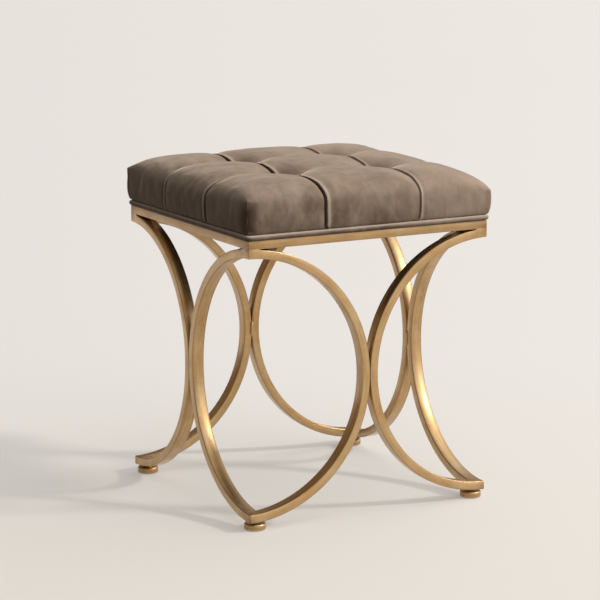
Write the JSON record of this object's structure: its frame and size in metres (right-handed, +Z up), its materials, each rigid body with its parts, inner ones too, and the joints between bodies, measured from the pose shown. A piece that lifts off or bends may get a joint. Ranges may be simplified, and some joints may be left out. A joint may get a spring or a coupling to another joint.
{
  "type": "accent stool",
  "caption": "Square accent stool with a tufted, piped velvet cushion on a gold metal base of half-round bars that meet back to back at the waist, on screw-in round feet.",
  "frame": {"origin": "on the floor under the middle of the seat", "axes": "+Z up; -Y is the front; the four faces of the base are alike, so X and Y are the seat's two sides"},
  "size_m": [0.407, 0.407, 0.5078],
  "materials": {
    "champagne_gold": "brushed antique gold, satin",
    "velvet": "taupe velvet with a soft sheen",
    "foam": "pale open-cell foam, matte",
    "plywood": "unfinished plywood",
    "zinc_steel": "zinc-plated",
    "rubber": "matte black",
    "nylon": "off-white nylon",
    "dust_cloth": "black non-woven cloth",
    "twine": "waxed polyester twine"
  },
  "bodies": {
    "stool": {"rail_front": "champagne_gold", "waist_weld_front": "champagne_gold", "rail_right": "champagne_gold", "waist_weld_right": "champagne_gold", "rail_back": "champagne_gold", "waist_weld_back": "champagne_gold", "rail_left": "champagne_gold", "waist_weld_left": "champagne_gold", "front_bar_left": "champagne_gold", "front_bar_right": "champagne_gold", "right_bar_front": "champagne_gold", "right_bar_back": "champagne_gold", "back_bar_right": "champagne_gold", "back_bar_left": "champagne_gold", "left_bar_back": "champagne_gold", "left_bar_front": "champagne_gold", "foot_insert_front_left": "zinc_steel", "corner_plate_front_left": "zinc_steel", "seat_screw_front_left": "zinc_steel", "tuft_washer_front_left": "nylon", "tuft_twine_front_left": "twine", "foot_insert_front_right": "zinc_steel", "corner_plate_front_right": "zinc_steel", "seat_screw_front_right": "zinc_steel", "tuft_washer_front_right": "nylon", "tuft_twine_front_right": "twine", "foot_insert_back_right": "zinc_steel", "corner_plate_back_right": "zinc_steel", "seat_screw_back_right": "zinc_steel", "tuft_washer_back_right": "nylon", "tuft_twine_back_right": "twine", "foot_insert_back_left": "zinc_steel", "corner_plate_back_left": "zinc_steel", "seat_screw_back_left": "zinc_steel", "tuft_washer_back_left": "nylon", "tuft_twine_back_left": "twine", "seat_board": "plywood", "foam_core": "foam", "seat_cover": "velvet", "welt_cord": "velvet", "dust_cover": "dust_cloth"},
    "foot_front_left_body": {"foot_front_left": "champagne_gold", "foot_pad_front_left": "rubber"},
    "foot_front_right_body": {"foot_front_right": "champagne_gold", "foot_pad_front_right": "rubber"},
    "foot_back_right_body": {"foot_back_right": "champagne_gold", "foot_pad_back_right": "rubber"},
    "foot_back_left_body": {"foot_back_left": "champagne_gold", "foot_pad_back_left": "rubber"}
  },
  "joints": [
    {"name": "foot_front_left_screw", "type": "slide", "parent": "stool", "child": "foot_front_left_body", "axis": [0, 0, -1], "range_m": [0, 0.005]},
    {"name": "foot_front_right_screw", "type": "slide", "parent": "stool", "child": "foot_front_right_body", "axis": [0, 0, -1], "range_m": [0, 0.005]},
    {"name": "foot_back_right_screw", "type": "slide", "parent": "stool", "child": "foot_back_right_body", "axis": [0, 0, -1], "range_m": [0, 0.005]},
    {"name": "foot_back_left_screw", "type": "slide", "parent": "stool", "child": "foot_back_left_body", "axis": [0, 0, -1], "range_m": [0, 0.005]}
  ]
}
